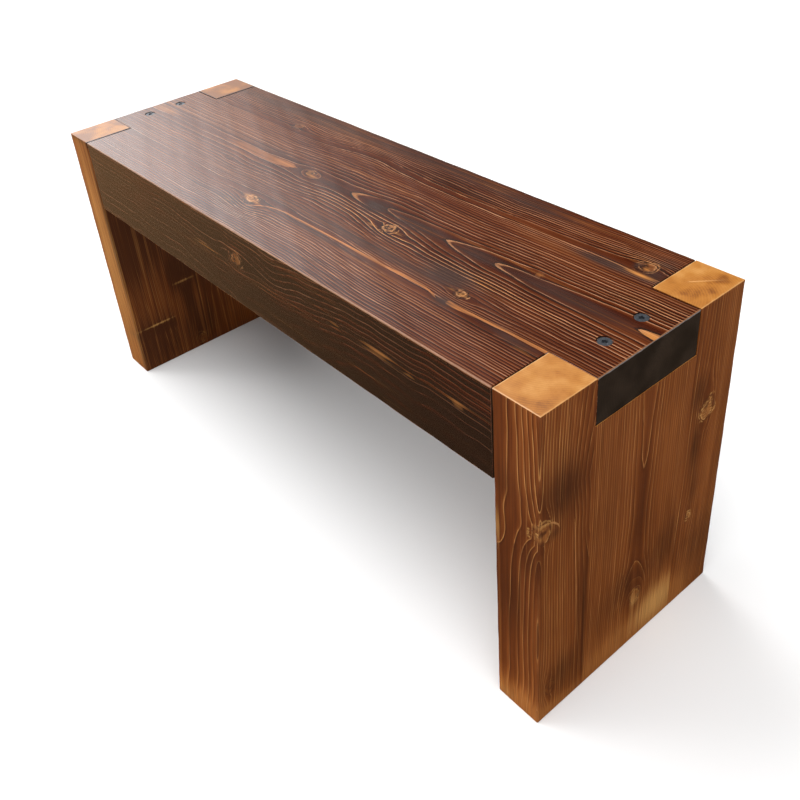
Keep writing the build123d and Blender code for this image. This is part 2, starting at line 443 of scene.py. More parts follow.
knot_x = np.array([knot[0][0] for knot in beam_knots])
knot_y = np.array([knot[0][1] for knot in seat_knots])
x_breaks = with_arris([beam_low[0], beam_high[0]], beam_arris)
x_breaks += with_arris([-shoulder_x, shoulder_x], beam_arris)
y_breaks = with_arris([beam_low[1], beam_high[1]], beam_arris)
y_breaks += with_arris([-tongue_y, tongue_y], tongue_side_arris)
beam_lattice = [
    lines_along(sorted(x_breaks), finer_near(knot_x, 2.1, 7.0)),
    lines_along(sorted(y_breaks), finer_near(knot_y, 2.2, 3.0)),
    lines_along(with_arris([beam_low[2], tongue_z, seat_z], beam_arris), even(4.5)),
]
points, quads = union_of_blocks([beam_core, tongues], beam_lattice)
least = 1e-6
on_tongue = (np.abs(points[:, 1]) <= tongue_y + least) & (points[:, 2] >= tongue_z - least)
in_core = np.abs(points[:, 0]) <= shoulder_x + least
arris = beam_arris * (0.85 + 0.25 * wander(points[:, 0] + points[:, 1], 90, 3))
plain, out_plain = eased(points, *map(np.array, beam_core), arris)
long_core = ((-far, beam_low[1], beam_low[2]), (far, beam_high[1], seat_z))
under_tongue, out_under = eased(points, *map(np.array, long_core), arris)
tip, out_tip = eased(points, *map(np.array, tongues), np.minimum(arris, tongue_side_arris))
which = np.where(on_tongue & in_core, 1, np.where(in_core, 0, 2))[:, None]
points = np.choose(which, [plain, under_tongue, tip])
outward = np.choose(which, [out_plain, out_under, out_tip])
hollow = 0.12 + 0.12 * wander(points[:, 0] + 2 * points[:, 1], 140, 5)
points -= outward * np.clip(hollow, 0, None)[:, None]
seat_beam = new_piece("dark_seat_beam", points, quads.tolist())

# Holes for the screws, turned round Z: a counterbore, a countersink and a clearance hole, as radii and
# heights from the screw head's top.
screw_names = sorted(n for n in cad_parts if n.endswith("_tongue_screw"))
hole_profile = [(8.5, 3.0), (8.5, -0.8), (7.5, -0.85), (4.3, -4.1), (4.3, -62.0)]
hole_sides = 48
hole_points, hole_faces = [], []
for name in screw_names:
    low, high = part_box(name)
    middle = (low + high) / 2 / MM
    first = len(hole_points)
    for radius, height in hole_profile:
        for n in range(hole_sides):
            turn = 2 * math.pi * n / hole_sides
            out = np.array((radius * math.cos(turn), radius * math.sin(turn)))
            hole_points.append((*(middle[:2] + out), high[2] / MM + height))
    for level in range(len(hole_profile) - 1):
        for n in range(hole_sides):
            a, b = first + level * hole_sides + n, first + level * hole_sides + (n + 1) % hole_sides
            hole_faces.append((a, a + hole_sides, b + hole_sides, b))
    hole_faces.append(tuple(first + n for n in range(hole_sides)))
    last = first + (len(hole_profile) - 1) * hole_sides
    hole_faces.append(tuple(last + n for n in reversed(range(hole_sides))))
drill = new_piece("drill", hole_points, hole_faces)
cut = seat_beam.modifiers.new("screw_holes", "BOOLEAN")
cut.operation = "DIFFERENCE"
cut.solver = "EXACT"
cut.object = drill
holed = bpy.data.meshes.new_from_object(seat_beam.evaluated_get(bpy.context.evaluated_depsgraph_get()))
seat_beam.modifiers.clear()
seat_beam.data = holed
bpy.data.objects.remove(drill)


def shade_by_angle(mesh, crease=40.0):
    """Smooth shading, with hard edges where faces meet at more than the crease's degrees."""
    mesh.shade_smooth()
    mesh.set_sharp_from_angle(angle=math.radians(crease))


def end_grain_faces(mesh, along, squareness=0.8):
    """Gives the second material to the faces that cut across the grain."""
    for face in mesh.polygons:
        face.material_index = int(abs(face.normal[along]) > squareness)


shade_by_angle(seat_beam.data)
places = mesh_numbers(seat_beam.data.vertices, "co", 3) / MM


def beam_grain(points):
    """Ring count, nearness of a knot and its paleness in the beam."""
    return timber_grain(points, 0, beam_heart, beam_rings, beam_knots, beam_bends, [], 11)


def along_seat(stops):
    """A band's path on the seat, from stops measured from the left end and the back edge."""
    return [(*on_seat(from_left, from_back)[:2], *band) for from_left, from_back, *band in stops]


def edge_wear_and_highlight(points, low, high, reach=4.0):
    """How close each point lies to an arris of a timber: 1 on it, and 0 where its reach ends."""
    past = np.sort(np.abs(points - np.clip(points, low + reach, high - reach)), axis=1)
    return np.clip(past[:, 1] / reach, 0, 1)


# Painted shade darkens the seams between the beam and the left posts, down to the seam's depth, standing
# for the shadow in the gap
seam_depth = 8.0
seam_painted_shade = 2
nowhere = 99.0


def keep_grain(
    mesh, points, low, high, grain, shown, at_left_seam, band, band_strength, soak_and_shade=(), tone=(), glow=(),
    lines=(), late=()
):
    """Stores what the materials read at each point of a timber between its low and high corners."""
    ring, near_knot, knot_paleness = grain(points)
    values = {
        "ring": ring,
        "pitch": ring_pitch(points, mesh_numbers(mesh.vertices, "normal", 3), grain),
        "knot": near_knot,
        "knot_paleness": knot_paleness,
        # Soak patches, with the painted shade of the left seams added
        "soak_and_shade": patches(points, soak_and_shade) + seam_painted_shade * at_left_seam,
        "tone": patches(points, tone),
        "glow": patches(points, glow),
        "lines": shown + patches(points, lines),
        "late": patches(points, late),
        "band": band,
        "band_strength": band_strength,
        "edge": edge_wear_and_highlight(points, low, high),
    }
    for name, value in values.items():
        layer = mesh.attributes.new(name, "FLOAT", "POINT")
        layer.data.foreach_set("value", value.astype(np.float32))


from_band, band_strength = beside(places, 0, 1, along_seat(pale_bands))
off_tongue = np.abs(places[:, 1]) > tongue_y - 0.1
at_left_seam = off_tongue & (places[:, 0] < 1.7 - shoulder_x) & (places[:, 2] > seat_z - seam_depth)
on_top = places[:, 2] > seat_z - 3
keep_grain(
    seat_beam.data, places, beam_low, beam_high, beam_grain, 0.85, at_left_seam,
    np.where(on_top, from_band, nowhere), band_strength, beam_soak, beam_tone_and_painted_light, beam_glow,
    beam_lines_shown, beam_late_wood
)
bake_map(seat_beam.data, 0)


def feed(shader_node, inputs):
    """Gives a shader node its inputs: a socket is linked, and anything else is a value."""
    for key, value in dict(inputs).items():
        if isinstance(value, bpy.types.NodeSocket):
            shader_node.id_data.links.new(value, shader_node.inputs[key])
        else:
            shader_node.inputs[key].default_value = value


def node(kind, inputs=(), tree=None, **settings):
    """Adds a shader node, to the tree of the first socket that feeds it where no tree is given."""
    inputs = dict(inputs)
    if tree is None:
        tree = next(value.id_data for value in inputs.values() if isinstance(value, bpy.types.NodeSocket))
    made = tree.nodes.new("ShaderNode" + kind)
    for name, value in settings.items():
        setattr(made, name, value)
    feed(made, inputs)
    return made


def new_material(name):
    """A material and its shader."""
    material = bpy.data.materials.new(name)
    material.use_nodes = True
    return material, material.node_tree.nodes["Principled BSDF"]


def place_on(shader):
    """The place on the object, which a material's patterns go by."""
    return node("TexCoord", tree=shader.id_data).outputs["Object"]


def maths(operation, *values):
    """One number worked out from others."""
    return node("Math", enumerate(values), operation=operation).outputs[0]


times = partial(maths, "MULTIPLY")
scaled = partial(maths, "MULTIPLY_ADD")
plus = partial(maths, "ADD")
minus = partial(maths, "SUBTRACT")
lower = partial(maths, "MINIMUM")
higher = partial(maths, "MAXIMUM")


def blend(share, a, b, kind="MIX"):
    """A colour between a and b."""
    made = node("Mix", {0: share, 6: a, 7: b}, data_type="RGBA", blend_type=kind)
    return made.outputs[2]


def curve(value, *stops):
    """A number that follows value through straight stretches between (place, number) stops."""
    return plus(colour_run(value, *[(at, (n, n, n, 1)) for at, n in stops]), 0)


def colour_run(value, *stops):
    """A colour that follows value through the (place, colour) stops."""
    made = node("ValToRGB", {0: value})
    ramp = made.color_ramp
    for index, (place, colour) in enumerate(sorted(stops)):
        stop = ramp.elements[index] if index < 2 else ramp.elements.new(place)
        stop.position = place
        stop.color = colour
    return made.outputs[0]


def noise(place, scale, detail=2, **inputs):
    """A noise value between 0 and 1."""
    made = node("TexNoise", {"Vector": place, "Scale": scale, "Detail": detail, **inputs})
    return made.outputs[0]


def stored(place, name):
    """A number that the mesh stores for each of its points."""
    return node("Attribute", tree=place.id_data, attribute_name=name).outputs["Fac"]


def worn_and_highlit_arrises(place, colour, look):
    """Lighter colour along the arrises: rubbed-off stain on the side grain and the honey end grain, and a
    grey painted highlight on the walnut end grain.
    """
    worn_and_highlight = scaled(noise(place, 90, 3), 0.6, stored(place, "edge"))
    worn_and_highlight = minus(worn_and_highlight, stored(place, "soak_and_shade"))
    return blend(curve(worn_and_highlight, (0.85, 0), (1.25, look["wear_and_highlight"])), colour, look["worn_and_highlight"])


def finish_timber(shader, look, colour, rough, relief, relief_share):
    """Puts the colour, the gloss of the wax and a fine relief on a timber."""
    relief_depth = 0.0003
    bump = node("Bump", {"Height": relief, "Strength": relief_share, "Distance": relief_depth})
    wax = {"Roughness": rough, "Specular IOR Level": look["shine"], "Normal": bump.outputs[0]}
    feed(shader, {"Base Color": colour, **wax})


def stained_pine(name, along, look):
    """Pine under stain and wax, with the grain along an axis.

    look holds its colours and how strongly each of them shows.
    """
    material, shader = new_material(name)
    place = place_on(shader)

    def stretched(share):
        """Place with the grain's own direction shortened, so that noise draws out along the grain."""
        scale = [1, 1, 1]
        scale[along] = share
        return node("VectorMath", {0: place, 1: scale}, operation="MULTIPLY").outputs[0]

    def centred(value):
        """A number that swings either side of nothing."""
        return minus(value, 0.5)

    # Growth rings: a pale latewood line at each whole count, with a sharp outer edge and a soft inner one
    fibre, long_fibre = stretched(0.06), stretched(0.012)
    mm_per_ring = stored(place, "pitch")
    sway = times(centred(noise(fibre, 130)), look["sway_mm"])
    sway = scaled(centred(noise(fibre, 650, 3)), look["tremble_mm"], sway)
    ring = plus(stored(place, "ring"), maths("DIVIDE", sway, mm_per_ring))
    outside = times(maths("FRACT", ring), mm_per_ring)
    inside = minus(mm_per_ring, outside)
    own = node("TexWhiteNoise", {"W": maths("ROUND", ring)}, noise_dimensions="1D").outputs["Value"]
    late_share = plus(stored(place, "late"), 0.03)
    line_mm = scaled(mm_per_ring, late_share, look["line_mm"])
    line = curve(maths("DIVIDE", inside, line_mm), (0.5, 1), (1, 0))
    line = higher(line, curve(outside, (0.05, 1), (0.4, 0)))
    broken = curve(noise(long_fibre, 420, 3), (0.35, 0.15), (0.58, 1))
    shown = stored(place, "lines")
    strength = curve(own, (0, look["faint_line"]), (1, 1), (0.5, look["middle_line"]))
    strength = times(times(strength, broken), shown)
    bold = higher(minus(shown, 1), 0)
    strength = lower(scaled(bold, 0.9, strength), 1)
    line = times(line, strength)

    # The stain's depth, from soaked black-brown through red-brown to the paler wood inside a line
    body = curve(times(inside, 0.1), (0, 1), (0.15, 0.85), (0.4, 0.4), (0.8, 0))
    shadow = curve(times(outside, 0.1), (0.03, 0.8), (0.1, 1), (0.3, 0))
    cloud = noise(stretched(0.3), 16, 3)
    streaks = noise(long_fibre, 260, 4)
    depth = scaled(body, look["body"], look["paleness"])
    depth = scaled(times(shadow, shown), look["shadow"], depth)
    depth = scaled(centred(cloud), look["cloud"], depth)
    depth = scaled(centred(streaks), look["streaks"], depth)
    # The stored tone, which on the beam also holds painted sheen on the seat's left end and painted shade
    # on its sides and underside
    depth = plus(depth, stored(place, "tone"))
    colour = colour_run(depth, *look["stain"])
    # Darker where the stored soak holds deeper-soaked stain and painted shade
    soaked_and_shaded = times(stored(place, "soak_and_shade"), curve(streaks, (0.35, 1.3), (0.65, 0.5)))
    colour = blend(lower(soaked_and_shaded, 1), colour, look["soaked_and_shaded"])
    amber_share = times(plus(bold, stored(place, "late")), 1.3)
    line_colour = blend(lower(amber_share, 1), look["line"], look["amber"])
    colour = blend(line, colour, line_colour)

    # Pale bands where the plane cut along a line instead of across it
    in_band = scaled(centred(noise(fibre, 300, 2)), 0.9, stored(place, "band"))
    in_band = curve(times(maths("ABSOLUTE", in_band), 0.5), (0.4, 1), (0.58, 0))
    in_band = times(in_band, curve(streaks, (0.35, 0.6), (0.6, 1.2)))
    in_band = times(in_band, stored(place, "band_strength"))
    colour = blend(in_band, colour, look["band"])

    # Knots: brown on one side and orange on the other, with broken pale arcs where the rings wrap round
    ragged = scaled(centred(noise(place, 150, 3)), 0.7, stored(place, "knot"))
    near = scaled(centred(noise(place, 60, 1)), 0.5, ragged)
    pale = stored(place, "knot_paleness")
    side = noise(place, 70, 1)
    fleck = noise(stretched(2.2), 240, 3)

    def arc(middle, half, *sides):
        """A thin ring in the knot that shows only on one side."""
        off = maths("ABSOLUTE", minus(near, middle))
        return times(curve(off, (0.3 * half, 1), (half, 0)), curve(side, *sides))

    inner_wood = blend(curve(side, (0.44, 0), (0.53, 1)), look["knot_dark"], look["knot_mid"])
    full = scaled(centred(fleck), 2.6, minus(pale, 1))
    inner_wood = blend(curve(full, (0.1, 0), (0.7, 0.9)), inner_wood, look["knot_light"])
    filled = curve(near, (0.75, 0.9), (1.05, 0))
    filled = times(filled, curve(pale, (0, 0.1), (0.7, 1)))
    colour = blend(filled, colour, inner_wood)
    rim = times(arc(1, 0.2, (0.4, 1), (0.6, 0.3)), curve(fleck, (0.4, 0.2), (0.55, 0.9)))
    colour = blend(rim, colour, look["knot_rim"])
    colour = blend(arc(0.35, 0.16, (0.44, 0.8), (0.56, 0)), colour, look["knot_rim"])
    arcs = higher(arc(0.85, 0.13, (0.5, 0), (0.58, 1)), arc(0.62, 0.12, (0.4, 1), (0.47, 0)))
    arcs = higher(arcs, arc(1.2, 0.12, (0.5, 0), (0.57, 0.9)))
    arcs = times(arcs, curve(fleck, (0.35, 0.15), (0.52, 1)))
    arcs = times(arcs, lower(pale, 1))
    colour = blend(arcs, colour, look["knot_light"])

    # Patches darkened by the stored soak, which holds deeper-soaked stain and painted shade, and amber
    # patches that the stain hardly reached
    near_knot_soak_and_shade = times(lower(soaked_and_shaded, 0.85), curve(near, (1, 1), (1.3, 0)))
    colour = blend(near_knot_soak_and_shade, colour, look["soaked_and_shaded"])
    fringe = scaled(centred(streaks), 0.9, stored(place, "glow"))
    glow = times(curve(fringe, (0.1, 0), (0.75, 1)), look["glow_share"])
    colour = blend(glow, colour, look["amber"])

    # Short dark pores and hairs of fibre
    hair = noise(long_fibre, 1500, 2)
    colour = blend(curve(hair, (0.35, look["hair"]), (0.6, 0)), colour, look["stain"][0][1])
    colour = worn_and_highlit_arrises(place, colour, look)

    rough = scaled(line, -0.05, look["roughness"])
    rough = scaled(centred(cloud), 0.12, rough)
    rough = scaled(centred(hair), 0.1, rough)
    relief = scaled(line, 0.5, times(hair, 0.35))
    finish_timber(shader, look, colour, rough, relief, 0.2)
    return material


def end_grain(name, look):
    """The sawn end of a stained timber: faint rings and rays, mottled, and darker where the stored soak
    holds deeper-soaked stain and painted shade.
    """
    material, shader = new_material(name)
    place = place_on(shader)
    mottle = noise(place, 45, 4, Roughness=0.6)
    grit = noise(place, 900, 3)
    share = maths("FRACT", stored(place, "ring"))
    tone = curve(share, (0, 0), (0.7, 0.6), (0.9, 1), (1, 0.1))
    blotch = scaled(noise(place, 26, 2), 2, times(mottle, 1.3))
    tone = scaled(tone, look["ring_share"], minus(blotch, 1.35))
    tone = scaled(grit, 0.25, tone)
    tone = minus(tone, stored(place, "soak_and_shade"))
    colour = colour_run(tone, *look["stain"])
    # Soak above 1 is the painted shade of the left seams, which takes the end grain to its darkest colour
    in_seam = higher(minus(stored(place, "soak_and_shade"), 1), 0)
    colour = blend(lower(in_seam, 1), colour, look["soaked_and_shaded"])
    check = times(maths("ABSOLUTE", stored(place, "band")), 0.5)
    check = times(curve(check, (0.2, 1), (0.6, 0)), stored(place, "band_strength"))
    colour = worn_and_highlit_arrises(place, blend(check, colour, look["worn_and_highlight"]), look)
    rough = scaled(mottle, 0.2, look["roughness"])
    finish_timber(shader, look, colour, rough, grit, 0.3)
    return material


walnut_look = dict(
    sway_mm=2.2, tremble_mm=0.5, line_mm=1, faint_line=0.25, middle_line=0.65, body=0.3, shadow=-0.42,
    paleness=0.36, cloud=0.85, streaks=0.6,
    stain=[(0, (0.020, 0.0085, 0.0045, 1)), (0.25, (0.055, 0.0075, 0.0015, 1)),
           (0.6, (0.13, 0.028, 0.006, 1)), (1, (0.25, 0.083, 0.026, 1))],
    soaked_and_shaded=(0.060, 0.030, 0.023, 1), line=(0.62, 0.30, 0.16, 1), amber=(0.68, 0.27, 0.065, 1),
    band=(0.64, 0.235, 0.07, 1), glow_share=0.8, knot_dark=(0.08, 0.028, 0.012, 1),
    knot_mid=(0.27, 0.09, 0.028, 1), knot_light=(0.64, 0.30, 0.12, 1),
    knot_rim=(0.025, 0.011, 0.006, 1), hair=0.4, wear_and_highlight=0.55, worn_and_highlight=(0.36, 0.17, 0.08, 1), roughness=0.20,
    shine=0.45,
)
# The walnut end grain's grey-white arris colour is a painted highlight along the edges of the beam's ends
walnut_end_look = dict(
    ring_share=0.2,
    stain=[(0.2, (0.015, 0.0095, 0.0055, 1)), (1, (0.034, 0.021, 0.0125, 1))],
    soaked_and_shaded=(0.012, 0.008, 0.005, 1), wear_and_highlight=0.6, worn_and_highlight=(0.30, 0.26, 0.25, 1), roughness=0.55, shine=0.15,
)
seat_beam.data.materials.clear()
seat_beam.data.materials.append(stained_pine("walnut_stained_pine", 0, walnut_look))
seat_beam.data.materials.append(end_grain("walnut_stained_end_grain", walnut_end_look))
end_grain_faces(seat_beam.data, 0)
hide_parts("seat_beam")
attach(seat_beam, "root")


# ---- Leg boards ---------------------------------------------------------------------------------
# Each leg is three thick pine boards glued edge to edge: two posts as tall as the seat, and a middle
# board that stops under the tongue. They are stained honey brown and waxed like the beam, and only
# the outside corners, the tops and the feet are rounded.

honey_look = dict(
    sway_mm=0.6, tremble_mm=0.3, line_mm=0.6, faint_line=0.2, middle_line=0.6, body=0.26, shadow=-0.16,
    paleness=0.36, cloud=0.6, streaks=0.5,
    stain=[(0, (0.07, 0.016, 0.003, 1)), (0.3, (0.145, 0.033, 0.004, 1)),
           (0.6, (0.245, 0.065, 0.009, 1)), (1, (0.40, 0.135, 0.026, 1))],
    soaked_and_shaded=(0.055, 0.015, 0.004, 1), line=(0.60, 0.27, 0.075, 1), amber=(0.70, 0.36, 0.10, 1),
    band=(0.60, 0.27, 0.08, 1), glow_share=0.8, knot_dark=(0.16, 0.045, 0.009, 1),
    knot_mid=(0.34, 0.115, 0.022, 1), knot_light=(0.64, 0.33, 0.09, 1),
    knot_rim=(0.09, 0.025, 0.006, 1), hair=0.5, wear_and_highlight=0.06, worn_and_highlight=(0.52, 0.24, 0.08, 1), roughness=0.40,
    shine=0.12,
)
# The honey end grain is much paler than the side grain: painted light for the post tops, which are lit
# from above far more than the sides
honey_end_painted_lit_look = dict(
    ring_share=0.25,
    stain=[(0, (0.24, 0.075, 0.010, 1)), (0.3, (0.42, 0.15, 0.018, 1)),
           (0.6, (0.50, 0.20, 0.032, 1)), (1, (0.60, 0.28, 0.07, 1))],
    soaked_and_shaded=(0.035, 0.012, 0.006, 1), wear_and_highlight=0.5, worn_and_highlight=(0.72, 0.40, 0.16, 1), roughness=0.30, shine=1,
)
honey_pine = stained_pine("honey_stained_pine", 2, honey_look)
honey_ends_painted_lit = end_grain("honey_end_grain_painted_lit", honey_end_painted_lit_look)


def leg_rings(radius):
    """Rings of the leg boards' trunks, a little under 3 mm wide."""
    radius = np.abs(radius)
    return radius / 2.8 + 0.22 * np.sin(radius / 6.3) + 0.12 * np.sin(radius / 3.4 + 2)


def leaning_heart(x, y, x_drift=((0, 0),), y_drift=((0, 0),)):
    """A heart line that stands at X and Y, with its drift given as (height, distance) pairs."""
    def heart(z):
        return np.stack([x + np.interp(z, *zip(*x_drift)), y + np.interp(z, *zip(*y_drift))], 1)
    return heart


def face_counted_heart(face_x, inward, y, counts):
    """A heart line behind a face, which shows each ring count at its distance down from the seat."""
    def heart(z):
        count = np.interp(seat_z - z, *zip(*counts))
        depth = np.interp(count, leg_rings(ring_table), ring_table)
        return np.stack([face_x + inward * depth, y + 0 * z], 1)
    return heart


corner_arris = 2.6
foot_arris = 2.2
top_arris = 1.2
no_band = [(0, 0, gone, 0)]


def leg_board(
    node_name, heart, seed, knots=(), bulges=(), soak_and_shade=(), tone=(), glow=(), lines=(), bands=no_band,
    check=no_band
):
    """A board of a leg, square where it is glued to the next board or lies under the tongue.

    bands run up its outer face, and check is a pale split in its top.
    """
    low, high = (np.array(corner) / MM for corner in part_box(node_name))
    knot_places = np.array([knot[0] for knot in knots] or [(far, far, far)])
    lattice = [
        lines_along(with_arris([low[0], high[0]], corner_arris), even(2.4)),
        lines_along(with_arris([low[1], high[1]], corner_arris), finer_near(knot_places[:, 1], 1.9, 2.6)),
        lines_along(with_arris([low[2], high[2]], foot_arris), finer_near(knot_places[:, 2], 2.0, 3.6)),
    ]
    points, quads = union_of_blocks([(low, high)], lattice)
    soft_low, soft_high = low.copy(), high.copy()
    if "front_post" not in node_name:
        soft_low[1] -= far
    if "back_post" not in node_name:
        soft_high[1] += far
    if high[2] < seat_z:
        soft_high[2] += far
    height = points[:, 2]
    change = 6.0
    stops = [0, change, high[2] - change, high[2]]
    arris = np.interp(height, stops, [foot_arris, corner_arris, corner_arris, top_arris])
    arris *= 0.85 + 0.2 * wander(height + points[:, 0], 80, seed)
    points, outward = eased(points, soft_low, soft_high, arris)
    piece = new_piece(node_name.replace("_leg_", "_honey_"), points, quads.tolist())
    shade_by_angle(piece.data)

    def grain(points):
        """Ring count, nearness of a knot and its paleness in the board."""
        return timber_grain(points, 2, heart, leg_rings, knots, [], bulges, seed, waviness=0.4)

    on_top, on_outside = height > high[2] - 2, points[:, 0] > high[0] - 3
    seam_y = -leg_top_high[1]
    at_seam = (points[:, 0] > -leg_top_low[0] - 2.0) | (np.abs(points[:, 1]) < seam_y + 1.2)
    at_left_seam = at_seam & (points[:, 0] < 0) & (height > seat_z - seam_depth)
    from_check, check_strength = beside(points, 0, 1, check)
    from_band, band_strength = beside(points, 2, 1, bands)
    keep_grain(
        piece.data, points, soft_low, soft_high, grain, 0.75, at_left_seam,
        np.select([on_top, on_outside], [from_check, from_band], nowhere),
        np.where(on_top, check_strength, band_strength), soak_and_shade, tone, glow, lines
    )
    bake_map(piece.data, 2)
    piece.data.materials.append(honey_pine)
    piece.data.materials.append(honey_ends_painted_lit)
    end_grain_faces(piece.data, 2)
    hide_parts(node_name)
    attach(piece, "root")
    return piece


def on_end(from_front, down):
    """A place on the right leg's outer face, measured from the front and from the seat."""
    return (beam_high[0], beam_low[1] + from_front, seat_z - down)


def on_right_front(from_inside, down):
    """A place on the right leg's front face, measured from its inner side and from the seat."""
    return (leg_top_low[0] + from_inside, beam_low[1], seat_z - down)


def on_left_inner(from_front, down):
    """A place on the left leg's inner face, measured from the front and from the seat."""
    return (-leg_top_low[0], beam_low[1] + from_front, seat_z - down)


def up_end(stops):
    """A band's path up the right leg's outer face, from stops measured from the front and the seat."""
    return [(*on_end(from_front, down)[2:0:-1], *band) for from_front, down, *band in stops]


# How far a patch reaches into the leg's outer, front and inner face
deep, front_depth, inner_depth = 30.0, 6, 8
end_patches = partial(patches_on, on_end, 0, deep)
right_front_patches = partial(patches_on, on_right_front, 1, front_depth)
left_inner_patches = partial(patches_on, on_left_inner, 0, inner_depth)
# The left end's front top corner: soak patches round it are painted shade over the left posts' tops,
# where less light falls
left_top = (-470, beam_low[1], seat_z)
left_front_middle = (-470, beam_low[1], 220)

leg_board(
    "right_leg_front_post",
    leaning_heart(
        439, -64, ((0, -1), (150, 0), (285, 3), (330, 6), (445, -2)), ((0, 1), (285, 0), (445, -3))
    ),
    21,
    knots=knots_on(on_end, 0, (6, 150, 10.5, 0.75, 0.5), (20, 398, 8, 0.1, 1)),
    bulges=end_patches((82, 180, 24, 15, 36, 3.5)) + right_front_patches((0, 172, 13, 24, 22, 3.5)),
    soak_and_shade=end_patches(
        (35, 111, 30, 32, 0.72), (22, 159, 14, 8, 6, 0.4), (40, 385, 24, 26, 0.42),
        (70, 300, 8, 90, 0.4),
    ) + right_front_patches(
        (50, 190, 12, 10, 26, 0.5), (14, 105, 14, 10, 26, 0.3), (20, 270, 18, 10, 50, 0.3),
    ),
    tone=end_patches(
        (30, 440, 60, 14, 0.6), (20, 20, 50, 40, 0.05),
    ) + right_front_patches(
        (25, 428, 40, 12, 26, 0.65), (30, 220, 60, 5, 130, -0.22), (36, 40, 60, 5, 50, -0.1),
    ),
    glow=right_front_patches(
        (12, 437, 14, 10, 12, 0.3), (3, 172, 6, skin, 24, 0.4),
    ) + end_patches(
        (6, 138, 10, 12, 3, 0.4), (2, 152, 10, 5, 6, 0.2),
    ),
    lines=right_front_patches(
        (30, 60, 40, 110, 0.45), (8, 172, 10, 34, 0.5), (30, 320, 40, 160, 0.15),
    ) + end_patches(
        (64, 180, 8, 9, 50, 0.3), (25, 60, 8, 30, 60, 0.5), (22, 300, 8, 24, 110, 0.35),
        (74, 72, 9, 8, 14, 0.5), (12, 142, 14, 14, 8, 0.6), (40, 110, 28, 34, -0.2),
    ),
    bands=up_end([
        (-2, 131, gone, 0.6), (0, 134, 1.5, 0.7), (12, 139, 1.8, 0.8), (20, 142, 1.8, 0.9),
        (27, 150, 1.2, 0.8), (29, 156, gone, 0.5), (52, 158, gone, 0.5), (52, 166, 0.5, 0.5),
        (54, 200, 0.6, 0.7), (57, 240, 0.5, 0.6), (63, 340, 0.4, 0.5), (72, 430, gone, 0.4),
    ]),
)
leg_board(
    "right_leg_middle_board",
    face_counted_heart(beam_high[0], -1, beam_low[1] + 162, [
        (57, 12.2), (100, 12.68), (145, 12.85), (160, 13), (230, 13.4), (306, 13), (335, 12.1),
        (372, 10.6), (445, 9.8),
    ]),
    22,
    knots=knots_on(on_end, 0, (166, 368, 8.5, 0.5, 2)),
    soak_and_shade=end_patches(
        (162, 232, 9, 60, 0.28), (215, 318, 20, 36, 0.36), (150, 335, 40, 26, 0.35),
        (110, 200, 14, 90, 0.1),
    ),
    tone=end_patches((140, 432, 75, 36, 0.75), (235, 412, 30, 36, 0.8), (205, 150, 26, 90, 0.12)),
    glow=end_patches((166, 372, 9, 12, 0.35), (210, 414, 46, 29, 0.85)),
    lines=end_patches(
        (160, 110, 10, 50, 0.35), (162, 315, 16, 16, 0.15), (150, 420, 80, 26, 0.1),
        (200, 220, 20, 90, -0.3),
    ),
)
leg_board(
    "right_leg_back_post",
    leaning_heart(452, 62, y_drift=((0, -8), (200, 0), (445, 8))),
    23,
    knots=knots_on(on_end, 0, (269, 148, 12, 1.15, 1), (259, 303, 5, 1.2, 0.5)),
    soak_and_shade=end_patches(
        (252, 116, 12, 22, 0.5), (256, 195, 9, 34, 0.6), (262, 265, 6, 30, 0.35),
        (285, 365, 26, 48, 0.3),
    ),
    tone=end_patches((288, 220, 9, 70, 0.2), (245, 430, 30, 34, 0.75)),
    check=along_seat([
        (958, 45, gone, 0.3), (962, 41, 1.5, 0.8), (975, 27, 1, 0.7), (988, 12, gone, 0.5),
    ]),
    lines=end_patches(
        (268, 60, 26, 60, 0.15), (285, 230, 14, 70, -0.35), (240, 285, 8, 4, 24, 0.5),
        (248, 145, 8, 8, 8, 0.5),
    ),
)
leg_board(
    "left_leg_front_post",
    leaning_heart(-441, -58, y_drift=((0, 10), (200, 0), (445, -4))),
    24,
    knots=knots_on(on_left_inner, 0, (90, 370, 9, 0.4, 1)),
    # The inner face's broad dark soak patches are painted shade under the seat, with a darker streak
    # under the spike knot. The patch round the left top is painted shade on the post's top
    soak_and_shade=left_inner_patches(
        (40, 371, deep, 38, 9, 1.2), (30, 180, 70, 110, 1.2), (30, 400, 70, 60, 0.9),
    ) + [(left_top, (deep, 90, 6), 0.5)],
    tone=[(left_front_middle, (40, 6, 300), 0.4)],
    lines=[(left_front_middle, (40, 6, 300), -0.4)],
    glow=left_inner_patches((42, 361, 4, 32, 1.8, 0.7)) + [(left_front_middle, (40, 4, 300), 0.4)],
)
leg_board(
    "left_leg_middle_board",
    leaning_heart(-486, 4, x_drift=((0, 4), (200, 0), (388, -4))),
    25,
    knots=knots_on(
        on_left_inner, 0, (110, 300, 6, 0.3, 1), (118, 428, 8, 0.5, 2), (200, 240, 9, 0.4, 1)
    ),
    # The broad dark soak patches are painted shade on the inner face under the seat
    soak_and_shade=left_inner_patches(
        (104, 280, deep, 22, 30, 1.2), (108, 330, deep, 7, 34, 1), (140, 230, 90, 110, 1.1),
        (120, 400, 50, 50, 0.7),
    ),
    tone=left_inner_patches((178, 395, deep, 24, 44, 0.15)),
    glow=left_inner_patches((106, 299, 4, 18, 1.8, 0.6)),
    lines=left_inner_patches((120, 425, 26, 12, 0.6)),
)
